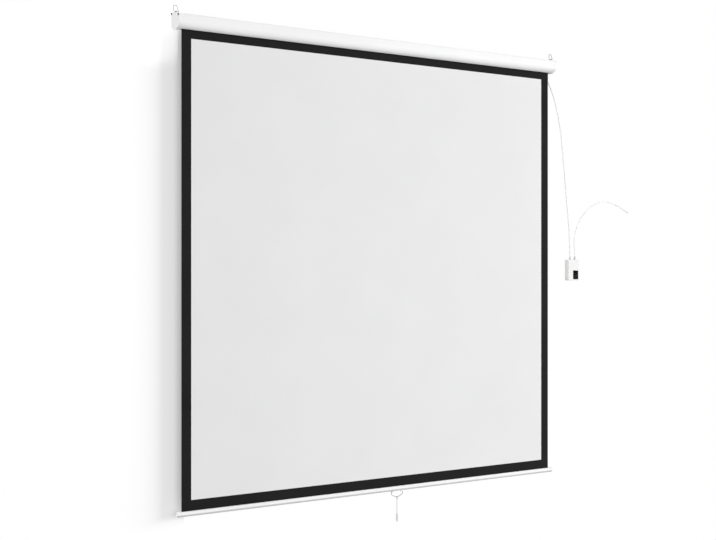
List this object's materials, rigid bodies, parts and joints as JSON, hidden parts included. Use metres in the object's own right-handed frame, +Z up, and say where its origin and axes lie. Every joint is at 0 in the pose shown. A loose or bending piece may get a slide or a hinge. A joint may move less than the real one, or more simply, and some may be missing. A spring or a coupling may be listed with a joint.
{
  "type": "projector screen",
  "caption": "Wall-hung roller projector screen: white casing, black-bordered square fabric, weighted bar with wire bail, hang rings and a wired rocker switch.",
  "frame": {"origin": "centre of the casing's flat back face, where it lies on the wall", "axes": "+X along the casing to the motor end, +Y into the wall, +Z up"},
  "size_m": [2.4599, 0.0788, 2.0996],
  "materials": {
    "white_paint": "satin",
    "white_plastic": "satin",
    "screen_white": "matte",
    "black_cloth": "matte",
    "zinc": "zinc plated",
    "dark_screw": "black oxide",
    "aluminium": "mill",
    "black_plastic": "moulded",
    "lead_sheath": "matte",
    "grey_plastic": "moulded"
  },
  "bodies": {
    "housing": {"casing": "white_paint", "end_cap_left": "white_plastic", "end_cap_right": "white_plastic", "cap_screw_left_rear": "dark_screw", "cap_screw_left_front": "dark_screw", "cap_screw_right_rear": "dark_screw", "cap_screw_right_front": "dark_screw", "hanger_plate_left": "zinc", "hanger_plate_right": "zinc", "idler_pin": "zinc", "idler_bracket": "zinc", "motor_tube": "zinc", "motor_head": "black_plastic", "limit_screw_down": "grey_plastic", "limit_screw_up": "grey_plastic", "motor_bracket": "zinc", "motor_lead": "lead_sheath", "screen_fabric": "screen_white", "border_top": "black_cloth", "border_left": "black_cloth", "border_right": "black_cloth", "cord_gland": "white_plastic", "motor_cord": "lead_sheath", "relief_in": "grey_plastic", "relief_out": "grey_plastic", "supply_cord": "lead_sheath", "end_sleeve": "lead_sheath", "switch_base": "white_plastic", "switch_cover": "white_plastic", "switch_screw_1": "zinc", "switch_screw_2": "zinc", "switch_bezel": "black_plastic", "terminal_block": "grey_plastic"},
    "roller": {"roller_tube": "aluminium", "spare_wraps": "black_cloth", "idler_plug": "black_plastic", "motor_shaft": "zinc", "drive_wheel": "black_plastic", "motor_crown": "black_plastic"},
    "bar": {"hem_strip": "screen_white", "border_bottom": "black_cloth", "hem_rod": "grey_plastic", "bottom_bar": "white_paint", "bar_cap_left": "white_plastic", "bar_cap_right": "white_plastic", "bail_foot_left": "white_plastic", "bail_foot_right": "white_plastic"},
    "bail_wire": {"bail": "zinc"},
    "pull": {"pull_cord": "lead_sheath", "pull_knob": "grey_plastic"},
    "ring_left": {"hang_ring_left": "zinc"},
    "ring_right": {"hang_ring_right": "zinc"},
    "rocker_key": {"rocker": "black_plastic"}
  },
  "joints": [
    {"name": "bar_lift", "type": "slide", "parent": "housing", "child": "bar", "axis": [0, 0, 1], "range_m": [0, 1.845], "deforming": ["screen_fabric", "border_top", "border_left", "border_right"]},
    {"name": "roller_turn", "type": "hinge", "parent": "housing", "child": "roller", "pos_m": [0, -0.0258, -0.0056], "axis": [1, 0, 0], "range_deg": [-5340, 0]},
    {"name": "bail_swing", "type": "hinge", "parent": "bar", "child": "bail_wire", "pos_m": [0.072, -0.043, -1.9193], "axis": [1, 0, 0], "range_deg": [-80, 80]},
    {"name": "pull_swing", "type": "hinge", "parent": "bail_wire", "child": "pull", "pos_m": [0.072, -0.043, -1.9438], "axis": [1, 0, 0], "range_deg": [-60, 60]},
    {"name": "ring_left_swing", "type": "hinge", "parent": "housing", "child": "ring_left", "pos_m": [-0.9517, -0.04, 0.02335], "axis": [1, 0, 0], "range_deg": [-75, 75]},
    {"name": "ring_right_swing", "type": "hinge", "parent": "housing", "child": "ring_right", "pos_m": [0.9517, -0.04, 0.02335], "axis": [1, 0, 0], "range_deg": [-75, 75]},
    {"name": "rocker_tilt", "type": "hinge", "parent": "housing", "child": "rocker_key", "pos_m": [1.124, -0.022, -0.9905], "axis": [1, 0, 0], "range_deg": [-8, 8], "stiffness_Nm_per_rad": 0.2}
  ],
  "couplings": [
    {"joint": "roller_turn", "follows": "bar_lift", "rad_per_m": -50.33}
  ]
}
